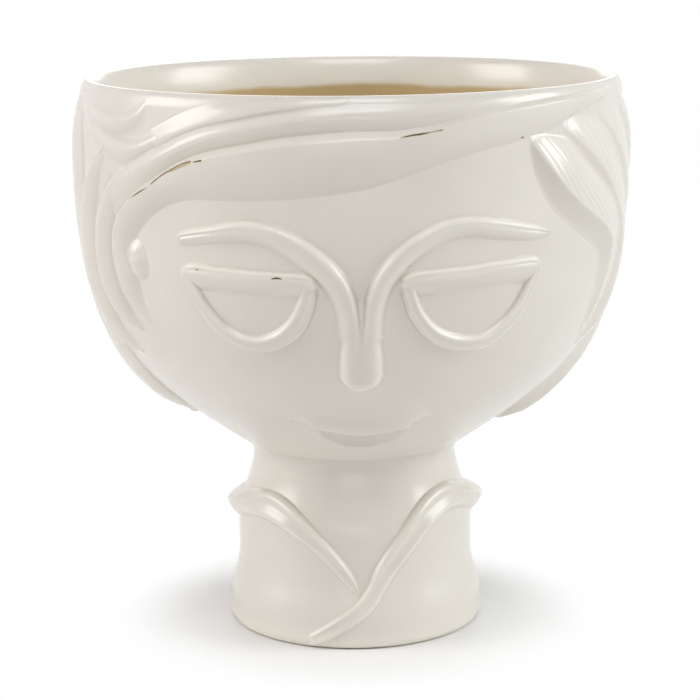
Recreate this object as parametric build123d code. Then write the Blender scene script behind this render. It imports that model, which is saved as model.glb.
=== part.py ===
"""Head planter in glazed earthenware: a cast bowl shaped as a head, on a neck with a turned-up collar.

Millimetres, +Z up, the origin at the middle of the foot and the face looking towards -Y.
The bowl, the neck and the floor are cast; every raised feature is a sprig pressed on the wall.
"""

import os
from math import cos, hypot, radians, sin

from build123d import *

os.makedirs("parts", exist_ok=True)

# Bowl
BOWL_HEIGHT = 132.0
BOWL_RADIUS = 96.8
BOWL_WALL = 6.5
BELLY_DROP = 25.0
RIM_DRAW_IN = 1.0
CHIN_ANGLE = 35.0

# Neck and foot
NECK_HEIGHT = 68.0
NECK_TOP_RADIUS = 37.2
NECK_DRAW_IN = 0.8
NECK_SHOULDER = 3.6
NECK_WALL = 6.0
COAT_RADIUS = 42.8
HEM_RADIUS = 46.3
FOOT_ROUNDING = 3.3
FOOT_RING_WIDTH = 3.6
SPIGOT_WALL = 3.4
SPIGOT_CLEARANCE = 0.1

# Floor disc
FLOOR_THICKNESS = 6.0
FLOOR_CLEARANCE = 0.2
FOOT_RECESS = 1.5

# Sprigs: how deep their edges and beds lie before the wall trims them, then each kind's width and relief
BOWL_SPRIG_DIP = 1.2
NECK_SPRIG_DIP = 0.3
SPRIG_BED = 2.5
FRINGE_UPPER_WIDTH = 9.5
FRINGE_UPPER_RELIEF = 2.6
FRINGE_LOWER_WIDTH = 19.5
FRINGE_LOWER_RELIEF = 3.2
CURL_WIDTH = 7.0
CURL_RELIEF = 1.2
LEFT_LOCK_WIDTH = 14.5
LEFT_LOCK_RELIEF = 3.8
RIGHT_LOCK_WIDTH = 19.0
RIGHT_LOCK_RELIEF = 3.2
BACK_LOCK_WIDTH = 25.5
BACK_LOCK_RELIEF = 3.4
BROW_WIDTH = 6.6
BROW_RELIEF = 2.4
NOSE_WIDTH = 13.5
NOSE_RELIEF = 5.5
EYE_RIM_WIDTH = 4.6
EYE_RIM_RELIEF = 1.8
LIP_WIDTH = 4.4
LIP_RELIEF = 1.6
LOWER_LIP_WIDTH = 7.0
LOWER_LIP_RELIEF = 1.8
STUD_WIDTH = 7.6
STUD_RELIEF = 2.6
COLLAR_WIDTH = 8.8
COLLAR_RELIEF = 5.6

# Counts
BACK_LOCK_COUNT = 12
WALL_STEPS = 240

# Shapes of the bowl's wall: its rounded rim, and how long its curve's handles are
RIM_ROUNDING_SHARE = 0.69
CHIN_HANDLE_SHARE = 0.394
BELLY_HANDLE_SHARE = 0.53

TOTAL_HEIGHT = NECK_HEIGHT + BOWL_HEIGHT
BELLY_LEVEL = TOTAL_HEIGHT - BELLY_DROP
RIM_RADIUS = BOWL_RADIUS - RIM_DRAW_IN
RIM_ROUNDING = BOWL_WALL * RIM_ROUNDING_SHARE
RIM_INNER_ROUNDING = BOWL_WALL - RIM_ROUNDING
NECK_WAIST_RADIUS = NECK_TOP_RADIUS - NECK_DRAW_IN
BORE_RADIUS = NECK_TOP_RADIUS - NECK_SHOULDER
SPIGOT_RADIUS = BORE_RADIUS - SPIGOT_CLEARANCE
WELL_RADIUS = SPIGOT_RADIUS - SPIGOT_WALL
BOWL_FLOOR_LEVEL = NECK_HEIGHT + BOWL_WALL
REBATE_RADIUS = HEM_RADIUS - FOOT_ROUNDING - FOOT_RING_WIDTH
FLOOR_RADIUS = REBATE_RADIUS - FLOOR_CLEARANCE
FLOOR_SEAT_LEVEL = FOOT_RECESS + FLOOR_THICKNESS

# Heights of the neck's turning points, as shares of its height
WAIST_SHARE = 0.91
COAT_TOP_SHARE = 0.65
COAT_WAIST_SHARE = 0.42
HEM_SHARE = 0.10
SHOULDER_HANDLE_SHARE = 0.13
HEM_HANDLE_SHARE = 0.16


def bowl_curves(start, belly_radius, lip):
    """The two curves of a bowl wall: from the chin up to the widest point, and on to the lip."""
    reach = BOWL_HEIGHT * CHIN_HANDLE_SHARE
    chin = (start[0] + reach * cos(radians(CHIN_ANGLE)), start[1] + reach * sin(radians(CHIN_ANGLE)))
    belly = (belly_radius, BELLY_LEVEL)
    below = (belly_radius, BELLY_LEVEL - BOWL_HEIGHT * BELLY_HANDLE_SHARE)
    above = (belly_radius, (BELLY_LEVEL + lip[1]) / 2)
    return [(start, chin, below, belly), (belly, above, above, lip)]


def neck_curves():
    """The curves of the neck's outside, from the foot's rounding up to the joint with the bowl."""
    hem = (HEM_RADIUS, NECK_HEIGHT * HEM_SHARE)
    coat = (COAT_RADIUS, NECK_HEIGHT * COAT_WAIST_SHARE)
    collar = (COAT_RADIUS, NECK_HEIGHT * COAT_TOP_SHARE)
    waist = (NECK_WAIST_RADIUS, NECK_HEIGHT * WAIST_SHARE)
    top = (NECK_TOP_RADIUS, NECK_HEIGHT)
    hem_handle = NECK_HEIGHT * HEM_HANDLE_SHARE
    handle = NECK_HEIGHT * SHOULDER_HANDLE_SHARE
    foot = (HEM_RADIUS, FOOT_ROUNDING)
    return [
        (foot, foot, hem, hem),
        (hem, (hem[0], hem[1] + hem_handle), (coat[0], coat[1] - hem_handle), coat),
        (coat, coat, collar, collar),
        (collar, (collar[0], collar[1] + handle), (waist[0], waist[1] - handle), waist),
        (waist, waist, top, top),
    ]


def along(curve, t):
    """The point of a cubic curve of four (radius, height) points at t from 0 to 1."""
    weights = ((1 - t) ** 3, 3 * (1 - t) ** 2 * t, 3 * (1 - t) * t**2, t**3)
    return tuple(sum(w * point[axis] for w, point in zip(weights, curve)) for axis in (0, 1))


def drawn(curves):
    """The same curves as edges in the XZ plane; a curve whose handles lie on its ends is a line."""
    edges = []
    for first, second, third, last in curves:
        points = [Vector(r, 0, z) for r, z in (first, second, third, last)]
        straight = first == second and third == last
        edges.append(Edge.make_line(points[0], points[3]) if straight else Edge.make_bezier(*points))
    return edges


def line(*points):
    """Straight edges in the XZ plane through (radius, height) points."""
    spots = [Vector(r, 0, z) for r, z in points]
    return [Edge.make_line(a, b) for a, b in zip(spots, spots[1:])]


def arc(start, corner, end):
    """A quarter round in the XZ plane from start to end, square at the corner it rounds."""
    centre = (start[0] + end[0] - corner[0], start[1] + end[1] - corner[1])
    half = sin(radians(45))
    middle = (centre[0] + (corner[0] - centre[0]) * half, centre[1] + (corner[1] - centre[1]) * half)
    return Edge.make_three_point_arc(*[Vector(r, 0, z) for r, z in (start, middle, end)])


def turned(edges):
    """The solid swept out by a closed outline turning about the Z axis."""
    return revolve(make_face(edges), Axis.Z)


RIM_TOP = (RIM_RADIUS - RIM_ROUNDING, TOTAL_HEIGHT)
OUTER_LIP = (RIM_RADIUS, TOTAL_HEIGHT - RIM_ROUNDING)
INNER_LIP = (RIM_RADIUS - BOWL_WALL, TOTAL_HEIGHT - RIM_INNER_ROUNDING)
BOWL_START = (NECK_TOP_RADIUS, NECK_HEIGHT)
BOWL_OUTSIDE = bowl_curves(BOWL_START, BOWL_RADIUS, OUTER_LIP)
BOWL_INSIDE = bowl_curves((BORE_RADIUS, BOWL_FLOOR_LEVEL), BOWL_RADIUS - BOWL_WALL, INNER_LIP)
NECK_OUTSIDE = neck_curves()
OUTER_ROUND = arc(OUTER_LIP, (RIM_RADIUS, TOTAL_HEIGHT), RIM_TOP)
INNER_ROUND = arc(RIM_TOP, (INNER_LIP[0], TOTAL_HEIGHT), INNER_LIP)
FOOT_EDGE = (HEM_RADIUS - FOOT_ROUNDING, 0)
FOOT_ROUND = arc(FOOT_EDGE, (HEM_RADIUS, 0), (HEM_RADIUS, FOOT_ROUNDING))


def head_bowl():
    """The cast bowl: an open shell with a rounded rim and a bore in its floor for the neck's spigot."""
    bore = line((BORE_RADIUS, BOWL_FLOOR_LEVEL), (BORE_RADIUS, NECK_HEIGHT), BOWL_START)
    return turned(drawn(BOWL_OUTSIDE) + [OUTER_ROUND, INNER_ROUND] + drawn(BOWL_INSIDE) + bore)


def neck_pedestal():
    """The hollow neck and coat, with a spigot for the bowl above and a rebate for the floor below."""
    coat_inside = COAT_RADIUS - NECK_WALL
    inside = line(
        BOWL_START,
        (SPIGOT_RADIUS, NECK_HEIGHT),
        (SPIGOT_RADIUS, BOWL_FLOOR_LEVEL),
        (WELL_RADIUS, BOWL_FLOOR_LEVEL),
        (WELL_RADIUS, NECK_HEIGHT * WAIST_SHARE),
        (coat_inside, NECK_HEIGHT * COAT_WAIST_SHARE),
        (coat_inside, FLOOR_SEAT_LEVEL),
        (REBATE_RADIUS, FLOOR_SEAT_LEVEL),
        (REBATE_RADIUS, 0),
        FOOT_EDGE,
    )
    return turned([FOOT_ROUND] + drawn(NECK_OUTSIDE) + inside)


def base_floor():
    """The disc that closes the neck, held up off the table inside the foot ring."""
    return Pos(0, 0, FLOOR_SEAT_LEVEL - FLOOR_THICKNESS / 2) * Cylinder(FLOOR_RADIUS, FLOOR_THICKNESS)


class Wall:
    """The outside of a turned piece: its place and facing at a height, its sprigs' dip, its solid core."""

    def __init__(self, curves, low, height, dip, closing):
        self.low = low
        self.height = height
        self.dip = dip
        self.samples = [along(c, k / WALL_STEPS) for c in curves for k in range(WALL_STEPS)]
        self.samples.append(curves[-1][3])
        self.solid = turned(drawn(curves) + closing)

    def place(self, azimuth, height_share):
        """The point of the wall at an azimuth from the face, and the way out of the wall there."""
        level = self.low + self.height * height_share
        for a, b in zip(self.samples, self.samples[1:]):
            if a[1] <= level <= b[1] and b[1] > a[1]:
                break
        part = (level - a[1]) / (b[1] - a[1])
        radius = a[0] + (b[0] - a[0]) * part
        run = hypot(b[0] - a[0], b[1] - a[1])
        out, up = (b[1] - a[1]) / run, (a[0] - b[0]) / run
        side, front = sin(radians(azimuth)), -cos(radians(azimuth))
        return Vector(radius * side, radius * front, level), Vector(out * side, out * front, up)


BOWL = Wall(
    BOWL_OUTSIDE,
    NECK_HEIGHT,
    BOWL_HEIGHT,
    BOWL_SPRIG_DIP,
    [OUTER_ROUND] + line(RIM_TOP, (0, TOTAL_HEIGHT), (0, NECK_HEIGHT), BOWL_START),
)
NECK = Wall(
    NECK_OUTSIDE,
    0,
    NECK_HEIGHT,
    NECK_SPRIG_DIP,
    [FOOT_ROUND] + line(BOWL_START, (0, NECK_HEIGHT), (0, 0), FOOT_EDGE),
)


def sprig(wall, rows, width, relief):
    """A ridge pressed on a wall: domed sections lofted through rows of azimuth, height, width and relief."""
    spots = [wall.place(azimuth, height) for azimuth, height, _, _ in rows]
    sections = []
    for k, (_, _, width_share, relief_share) in enumerate(rows):
        point, out = spots[k]
        ahead = spots[min(k + 1, len(rows) - 1)][0] - spots[max(k - 1, 0)][0]
        across = out.cross(ahead).normalized() * (width * width_share / 2)
        crest = point + out * (relief * relief_share)
        foot = point - out * wall.dip
        left, right = foot - across, foot + across
        sunk = out * SPRIG_BED
        dome = Edge.make_three_point_arc(left, crest, right)
        corners = [right, right - sunk, left - sunk, left]
        bed = [Edge.make_line(a, b) for a, b in zip(corners, corners[1:])]
        sections.append(make_face([dome] + bed))
    return loft(sections) - wall.solid


def largest(shape):
    """The main body of a trimmed sprig, without the crumbs that trimming leaves."""
    return max(shape.solids(), key=lambda solid: solid.volume)


# Azimuth in degrees from the face, then shares of the wall's height, the sprig's width and its relief
fringe_upper_shares = [
    (25, 0.950, 0.50, 0.50),
    (12, 0.946, 0.80, 0.85),
    (-2, 0.944, 0.95, 1.00),
    (-14, 0.936, 1.00, 1.00),
    (-25, 0.918, 1.00, 1.00),
    (-35, 0.886, 1.00, 1.00),
    (-43.5, 0.834, 0.90, 0.95),
    (-50, 0.775, 0.55, 0.50),
]
fringe_lower_shares = [
    (60, 0.945, 0.20, 0.20),
    (46, 0.918, 0.28, 0.50),
    (32, 0.892, 0.36, 0.80),
    (18, 0.864, 0.50, 1.00),
    (4, 0.841, 0.78, 1.00),
    (-10, 0.820, 1.00, 1.00),
    (-22, 0.797, 0.92, 1.00),
    (-32, 0.774, 0.72, 1.00),
    (-40.5, 0.753, 0.52, 1.00),
    (-47, 0.715, 0.42, 0.95),
    (-52, 0.664, 0.38, 0.90),
    (-54.4, 0.606, 0.38, 0.90),
    (-54.4, 0.540, 0.38, 0.90),
    (-53, 0.478, 0.34, 0.80),
    (-51, 0.425, 0.24, 0.40),
]
crown_curl_shares = [
    [(-69, 0.950, 0.40, 0.5), (-62, 0.932, 0.90, 1.0), (-55, 0.922, 1.00, 1.0), (-49, 0.936, 0.90, 1.0)]
    + [(-44, 0.955, 0.40, 0.5)],
    [(-70, 0.905, 0.40, 0.5), (-62, 0.872, 0.90, 1.0), (-54, 0.852, 1.00, 1.0), (-47, 0.872, 0.90, 1.0)]
    + [(-41, 0.912, 0.40, 0.5)],
]
left_lock_shares = [
    [(-57, 0.825, 0.40, 0.4), (-60, 0.750, 0.70, 0.9), (-62.5, 0.650, 0.82, 1.0), (-63, 0.550, 0.86, 1.0)]
    + [(-61.5, 0.460, 0.80, 0.9), (-57, 0.370, 0.40, 0.4)],
    [(-66, 0.880, 0.40, 0.4), (-69.5, 0.790, 0.85, 0.9), (-72, 0.690, 1.00, 1.0), (-72.5, 0.560, 1.00, 1.0)]
    + [(-71, 0.440, 0.95, 1.0), (-66.5, 0.330, 0.75, 0.8), (-60, 0.250, 0.35, 0.3)],
    [(-77, 0.930, 0.40, 0.4), (-80.5, 0.820, 0.90, 0.9), (-82.5, 0.680, 1.10, 1.0), (-83, 0.530, 1.10, 1.0)]
    + [(-81, 0.390, 1.00, 1.0), (-76.5, 0.270, 0.80, 0.8), (-69, 0.170, 0.35, 0.3)],
]
right_lock_shares = [
    [(36.5, 0.885, 0.45, 0.4), (42, 0.815, 0.80, 0.9), (49.5, 0.735, 0.95, 1.0), (58.5, 0.665, 0.95, 1.0)]
    + [(64.5, 0.590, 0.90, 1.0), (67, 0.510, 0.85, 1.0), (67.5, 0.430, 0.80, 0.9), (66, 0.350, 0.60, 0.7)]
    + [(63.5, 0.285, 0.30, 0.3)],
    [(49, 0.915, 0.75, 0.4), (54.5, 0.845, 1.00, 0.9), (62.5, 0.755, 1.00, 1.0), (70.5, 0.670, 1.00, 1.0)]
    + [(76, 0.575, 1.00, 1.0), (78.5, 0.470, 0.95, 1.0), (78.5, 0.360, 0.90, 0.95), (75.5, 0.260, 0.70, 0.75)]
    + [(70.5, 0.190, 0.30, 0.3)],
    [(63, 0.930, 0.85, 0.4), (68.5, 0.855, 1.00, 0.9), (75.5, 0.760, 1.05, 1.0), (83, 0.655, 1.05, 1.0)]
    + [(88, 0.540, 1.00, 1.0), (90, 0.420, 1.00, 1.0), (89, 0.300, 0.90, 0.95), (85, 0.190, 0.70, 0.75)]
    + [(78, 0.120, 0.30, 0.3)],
    [(76, 0.940, 0.85, 0.4), (82, 0.850, 1.05, 0.9), (89, 0.740, 1.10, 1.0), (95.5, 0.620, 1.10, 1.0)]
    + [(99.5, 0.490, 1.05, 1.0), (101, 0.360, 1.00, 1.0), (99, 0.240, 0.90, 0.95), (94, 0.140, 0.65, 0.75)]
    + [(86, 0.080, 0.30, 0.3)],
]
# One back lock: its sway in shares of the spacing between locks, its share of the lean, then as above
back_lock_shares = [
    (-0.10, 1.00, 0.945, 0.70, 0.40),
    (-0.02, 0.62, 0.850, 0.95, 0.90),
    (0.14, 0.30, 0.740, 1.00, 1.00),
    (0.18, 0.08, 0.620, 1.00, 1.00),
    (0.06, 0.00, 0.490, 1.00, 1.00),
    (-0.10, 0.00, 0.360, 0.92, 1.00),
    (-0.08, 0.02, 0.240, 0.74, 0.90),
    (0.06, 0.04, 0.140, 0.52, 0.75),
    (0.22, 0.06, 0.070, 0.25, 0.35),
]
# Azimuths of the first and last back lock, and how far their tops lean round towards the face
BACK_START = 117.0
BACK_END = 264.0
LEAN_START = -22.0
LEAN_END = 5.0
brow_shares = [
    (-37.0, 0.646, 0.60, 0.35),
    (-30.0, 0.686, 0.80, 0.85),
    (-23.0, 0.700, 0.90, 1.00),
    (-16.5, 0.697, 1.00, 1.00),
    (-11.0, 0.660, 1.00, 1.00),
    (-6.8, 0.608, 1.00, 1.00),
    (-3.7, 0.548, 0.95, 1.00),
    (-2.6, 0.480, 0.80, 0.80),
]
nose_shares = [
    (0, 0.500, 0.55, 0.40),
    (0, 0.440, 0.72, 0.50),
    (0, 0.380, 0.85, 0.62),
    (0, 0.325, 1.00, 0.85),
    (0, 0.290, 0.95, 1.00),
    (0, 0.268, 0.60, 0.60),
]
eye_bar_shares = [
    (-36.5, 0.586, 0.70, 0.50),
    (-30.0, 0.584, 1.00, 1.00),
    (-22.5, 0.579, 1.00, 1.00),
    (-15.0, 0.575, 1.00, 1.00),
    (-9.0, 0.573, 0.80, 0.60),
]
eye_arc_shares = [
    (-35.8, 0.586, 0.70, 0.60),
    (-35.2, 0.520, 0.80, 0.85),
    (-31.8, 0.440, 0.95, 1.00),
    (-26.0, 0.394, 1.00, 1.00),
    (-20.0, 0.388, 1.00, 1.00),
    (-14.5, 0.415, 1.00, 1.00),
    (-10.8, 0.475, 0.95, 1.00),
    (-9.6, 0.573, 0.80, 0.70),
]
upper_lip_shares = [
    (-18.0, 0.186, 0.35, 0.30),
    (-9.0, 0.158, 0.90, 1.00),
    (0.0, 0.144, 1.00, 1.00),
    (9.0, 0.158, 0.90, 1.00),
    (18.0, 0.186, 0.35, 0.30),
]
lower_lip_shares = [
    (-11.5, 0.118, 0.35, 0.40),
    (-6.0, 0.104, 0.80, 0.90),
    (0.0, 0.098, 1.00, 1.00),
    (6.0, 0.104, 0.80, 0.90),
    (11.5, 0.118, 0.35, 0.40),
]
ear_stud_shares = [
    (-49.0, 0.625, 0.40, 0.30),
    (-49.0, 0.605, 0.90, 0.85),
    (-49.0, 0.580, 1.00, 1.00),
    (-49.0, 0.555, 0.90, 0.80),
    (-49.0, 0.535, 0.40, 0.25),
]
lapel_left_shares = [
    (-93, 0.680, 0.95, 1.00),
    (-75, 0.700, 1.00, 0.95),
    (-58, 0.712, 1.00, 0.75),
    (-44, 0.705, 1.00, 0.60),
    (-32, 0.670, 0.90, 0.50),
    (-20, 0.570, 0.80, 0.45),
    (-9, 0.435, 0.65, 0.40),
    (-1, 0.330, 0.35, 0.25),
]
lapel_right_shares = [
    (93, 0.705, 0.95, 1.00),
    (75, 0.735, 1.00, 1.00),
    (56, 0.748, 1.00, 0.80),
    (37, 0.690, 0.95, 0.60),
    (24, 0.580, 0.90, 0.50),
    (14.5, 0.425, 0.85, 0.45),
    (8.5, 0.290, 0.80, 0.42),
    (0, 0.205, 0.75, 0.40),
    (-10, 0.130, 0.70, 0.35),
    (-19, 0.070, 0.45, 0.20),
]
collar_back_shares = [
    (96, 0.708, 0.95, 1.00),
    (120, 0.745, 1.00, 0.95),
    (150, 0.775, 1.00, 0.90),
    (180, 0.785, 1.00, 0.90),
    (210, 0.775, 1.00, 0.90),
    (240, 0.735, 1.00, 0.95),
    (264, 0.690, 0.95, 1.00),
]
# The face looks a little to the right of the front
FACE_TURN = 1.6


def facing(rows, side):
    """Rows of a face feature turned with the face; side is 1 as written and -1 for its mirror image."""
    return [(FACE_TURN + side * azimuth, *rest) for azimuth, *rest in rows]


def back_locks():
    """The locks round the back of the head, one after another from the right side to the left."""
    spacing = (BACK_END - BACK_START) / (BACK_LOCK_COUNT - 1)
    for k in range(BACK_LOCK_COUNT):
        start = BACK_START + k * spacing
        lean = LEAN_START + (LEAN_END - LEAN_START) * k / (BACK_LOCK_COUNT - 1)
        rows = [(start + sway * spacing + lean * bent, *rest) for sway, bent, *rest in back_lock_shares]
        yield f"back_lock_{k + 1}", sprig(BOWL, rows, BACK_LOCK_WIDTH, BACK_LOCK_RELIEF)


def eye_rim(side):
    """A half-moon rim: a straight upper lid and the arc under it, pressed as one sprig."""
    lid = sprig(BOWL, facing(eye_bar_shares, side), EYE_RIM_WIDTH, EYE_RIM_RELIEF)
    return lid + sprig(BOWL, facing(eye_arc_shares, side), EYE_RIM_WIDTH, EYE_RIM_RELIEF)


# Every sprig in the order that it is pressed on: a later one is trimmed to those before it
sprigs = {
    "nose_bridge": sprig(BOWL, facing(nose_shares, 1), NOSE_WIDTH, NOSE_RELIEF),
    "brow_left": sprig(BOWL, facing(brow_shares, 1), BROW_WIDTH, BROW_RELIEF),
    "brow_right": sprig(BOWL, facing(brow_shares, -1), BROW_WIDTH, BROW_RELIEF),
    "eye_rim_left": eye_rim(1),
    "eye_rim_right": eye_rim(-1),
    "upper_lip": sprig(BOWL, facing(upper_lip_shares, 1), LIP_WIDTH, LIP_RELIEF),
    "lower_lip": sprig(BOWL, facing(lower_lip_shares, 1), LOWER_LIP_WIDTH, LOWER_LIP_RELIEF),
    "fringe_lower": sprig(BOWL, fringe_lower_shares, FRINGE_LOWER_WIDTH, FRINGE_LOWER_RELIEF),
    "fringe_upper": sprig(BOWL, fringe_upper_shares, FRINGE_UPPER_WIDTH, FRINGE_UPPER_RELIEF),
    "ear_stud": sprig(BOWL, ear_stud_shares, STUD_WIDTH, STUD_RELIEF),
}
for number, rows in enumerate(left_lock_shares, 1):
    sprigs[f"left_lock_{number}"] = sprig(BOWL, rows, LEFT_LOCK_WIDTH, LEFT_LOCK_RELIEF)
for number, rows in enumerate(crown_curl_shares, 1):
    sprigs[f"crown_curl_{number}"] = sprig(BOWL, rows, CURL_WIDTH, CURL_RELIEF)
for number, rows in enumerate(right_lock_shares, 1):
    sprigs[f"right_lock_{number}"] = sprig(BOWL, rows, RIGHT_LOCK_WIDTH, RIGHT_LOCK_RELIEF)
sprigs.update(back_locks())
sprigs["lapel_right"] = sprig(NECK, lapel_right_shares, COLLAR_WIDTH, COLLAR_RELIEF)
sprigs["lapel_left"] = sprig(NECK, lapel_left_shares, COLLAR_WIDTH, COLLAR_RELIEF)
sprigs["collar_back"] = sprig(NECK, collar_back_shares, COLLAR_WIDTH, COLLAR_RELIEF)

pieces = {"head_bowl": head_bowl(), "neck_pedestal": neck_pedestal(), "base_floor": base_floor()}
placed = []
for name, piece in sprigs.items():
    reach = piece.bounding_box(optimal=False)
    for earlier, earlier_reach in placed:
        if reach.overlaps(earlier_reach):
            piece = piece - earlier
    pieces[name] = largest(piece)
    placed.append((pieces[name], pieces[name].bounding_box(optimal=False)))

for name, piece in pieces.items():
    export_step(piece, f"parts/{name}.step")
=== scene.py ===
import bpy
import numpy as np
from mathutils import Euler, Matrix, Vector


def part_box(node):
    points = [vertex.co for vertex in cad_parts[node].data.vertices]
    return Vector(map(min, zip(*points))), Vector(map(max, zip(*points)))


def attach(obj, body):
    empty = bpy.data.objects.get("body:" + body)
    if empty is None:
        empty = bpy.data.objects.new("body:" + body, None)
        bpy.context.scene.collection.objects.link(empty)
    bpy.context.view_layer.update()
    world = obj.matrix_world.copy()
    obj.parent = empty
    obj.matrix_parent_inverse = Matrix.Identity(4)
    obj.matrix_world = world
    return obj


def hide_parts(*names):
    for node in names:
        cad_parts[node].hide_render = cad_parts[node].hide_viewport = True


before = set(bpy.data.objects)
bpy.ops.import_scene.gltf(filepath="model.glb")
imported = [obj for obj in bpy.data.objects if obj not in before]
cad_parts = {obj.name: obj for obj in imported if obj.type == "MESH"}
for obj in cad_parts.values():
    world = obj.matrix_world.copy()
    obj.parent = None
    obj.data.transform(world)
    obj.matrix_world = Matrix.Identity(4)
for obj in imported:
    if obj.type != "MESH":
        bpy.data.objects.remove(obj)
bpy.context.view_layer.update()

# The bowl is the head: one slip-cast shell of tan earthenware, open at the top with a rounded lip.
# Opaque white glaze covers the outside and the lip; inside it is cream by the lip, painted lighter than the
# outside as painted bounce light, and golden lower down.
# Every feature of the face and hair is a sprig of the same clay, pressed on its outside before the glaze.
MM = 0.001
CHIN_LEVEL, RIM_LEVEL = (corner[2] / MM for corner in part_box("head_bowl"))
BOWL_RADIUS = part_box("head_bowl")[1][0] / MM
BOWL_WALL = 6.5
BELLY_DROP = 25.0
BELLY_LEVEL = RIM_LEVEL - BELLY_DROP
LIP_OUTER_ROUND, LIP_INNER_ROUND = (3.0, 5.5), (3.5, 11.0)
CHIN_DROP = 1.6
RIM_DRAW = 0.6
RIM_RADIUS = BOWL_RADIUS - RIM_DRAW
CHIN_RADIUS = 37.2
CHIN_ANGLE = np.radians(35.0)
CHIN_HANDLE = 52.0
BELLY_HANDLE = 70.0
BOWL_BORE = 33.6
CURVE_STEPS = 120
UPPER_STEPS = 30
ROUND_STEPS = 14
BOWL_TURN_STEPS = 300


def cubic(first, second, third, last, steps=CURVE_STEPS):
    """Rows (radius, height) of a cubic curve: the four points weighted by the Bernstein polynomials."""
    t = np.linspace(0, 1, steps)[:, None]
    points = np.array([first, second, third, last], float)
    weights = [(1 - t) ** 3, 3 * (1 - t) ** 2 * t, 3 * (1 - t) * t**2, t**3]
    return sum(w * p for w, p in zip(weights, points))


def quarter(centre, radii, start):
    """Rows (radius, height) of a quarter ellipse from the angle start, in degrees, turning left."""
    angle = np.radians(np.linspace(start, start + 90, ROUND_STEPS))
    return np.array(centre) + np.stack([radii[0] * np.cos(angle), radii[1] * np.sin(angle)], -1)


def bowl_side(start, belly_radius, lip):
    """One face of the bowl's wall, from the chin out to the widest level and up to the lip."""
    reach = CHIN_HANDLE * np.array([np.cos(CHIN_ANGLE), np.sin(CHIN_ANGLE)])
    belly = np.array([belly_radius, BELLY_LEVEL])
    middle = np.array([belly_radius, (BELLY_LEVEL + lip[1]) / 2])
    lower = cubic(start, np.array(start) + reach, belly - [0, BELLY_HANDLE], belly)
    return np.vstack([lower, cubic(belly, middle, middle, lip, UPPER_STEPS)[1:]])


def wall_from(profile):
    """A wall from rows (radius, height) that run upwards: its arc length, tangent and outward normal."""
    ahead = np.gradient(profile, axis=0)
    ahead /= np.linalg.norm(ahead, axis=1, keepdims=True)
    length = np.r_[0, np.cumsum(np.linalg.norm(np.diff(profile, axis=0), axis=1))]
    out = np.stack([ahead[:, 1], -ahead[:, 0]], -1)
    return {"profile": profile, "ahead": ahead, "out": out, "length": length}


def grid_faces(rows, columns, close_rows=False, close_columns=False):
    """Quads between neighbours of a grid of points, with its rows or columns closed round where asked."""
    i = np.arange(rows if close_rows else rows - 1)[:, None]
    j = np.arange(columns if close_columns else columns - 1)[None]
    i_next = (i + 1) % rows
    j_next = (j + 1) % columns
    corners = [i * columns + j, i_next * columns + j, i_next * columns + j_next, i * columns + j_next]
    return np.stack(corners, -1).reshape(-1, 4)


def make_piece(name, points, faces, material, slot, **fields):
    """A smooth mesh from millimetre points that stands for the CAD node of its name and rides on the body."""
    mesh = bpy.data.meshes.new(name)
    mesh.from_pydata((points.reshape(-1, 3) * MM).tolist(), [], faces)
    mesh.shade_smooth()
    for field, values in fields.items():
        layer = mesh.attributes.new(field, "FLOAT", "POINT")
        layer.data.foreach_set("value", np.asarray(values, np.float32).ravel())
    mesh.materials.append(material)
    shape = bpy.data.objects.new(name, mesh)
    bpy.context.collection.objects.link(shape)
    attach(shape, "root")
    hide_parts(name)


def spun(profile, steps):
    """A (radius, height) profile carried round Z: x = r sin a, y = -r cos a, with a from the face."""
    angle = np.linspace(0, 2 * np.pi, steps, endpoint=False)[:, None]
    radius, height = profile[None, :, 0], profile[None, :, 1]
    return np.stack(np.broadcast_arrays(radius * np.sin(angle), -radius * np.cos(angle), height), -1)


def turned(name, loop, steps, material, slot, **fields):
    """A shell from a closed (radius, height) loop carried round Z, each field given along the loop."""
    fields = {key: np.broadcast_to(values, (steps, len(loop))) for key, values in fields.items()}
    faces = grid_faces(steps, len(loop), True, True).tolist()
    make_piece(name, spun(loop, steps), faces, material, slot, **fields)


def finish_of(name):
    """A new material, with its node tree and its main shader."""
    material = bpy.data.materials.new(name)
    material.use_nodes = True
    return material, material.node_tree, material.node_tree.nodes["Principled BSDF"]


def node_of(tree, kind, inputs=None, **settings):
    """A shader node of a kind, with its settings, and its inputs linked or set by name or number."""
    node = tree.nodes.new(kind)
    for key, value in settings.items():
        setattr(node, key, value)
    for key, value in (inputs or {}).items():
        if isinstance(value, bpy.types.NodeSocket):
            tree.links.new(value, node.inputs[key])
        else:
            node.inputs[key].default_value = value
    return node


def noise_of(tree, place, scale, detail):
    """A cloudy value over places, with a scale per metre and a number of finer layers."""
    return node_of(tree, "ShaderNodeTexNoise", {"Vector": place, "Scale": scale, "Detail": detail}).outputs[0]


def field_of(tree, name):
    """A value that the mesh carries on its points."""
    return node_of(tree, "ShaderNodeAttribute", attribute_name=name).outputs["Fac"]


def math_of(tree, operation, *values):
    """The result of an operation on values."""
    return node_of(tree, "ShaderNodeMath", dict(enumerate(values)), operation=operation).outputs[0]


def blend_of(tree, factor, first, second):
    """A colour that goes from first to second with the factor."""
    node = node_of(tree, "ShaderNodeMix", {0: factor, 6: first, 7: second}, data_type="RGBA")
    return node.outputs[2]


def level_of(tree, value, low, high, bottom=0.0, top=1.0):
    """A value carried smoothly from the range low to high onto the range bottom to top."""
    inputs = {0: value, 1: low, 2: high, 3: bottom, 4: top}
    return node_of(tree, "ShaderNodeMapRange", inputs, interpolation_type="SMOOTHSTEP").outputs[0]


def bump_of(tree, height, strength, distance, invert=False, **under):
    """A surface normal tilted by a height, over the Normal under it where one is given."""
    inputs = {"Height": height, "Strength": strength, "Distance": distance, **under}
    return node_of(tree, "ShaderNodeBump", inputs, invert=invert).outputs[0]


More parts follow.
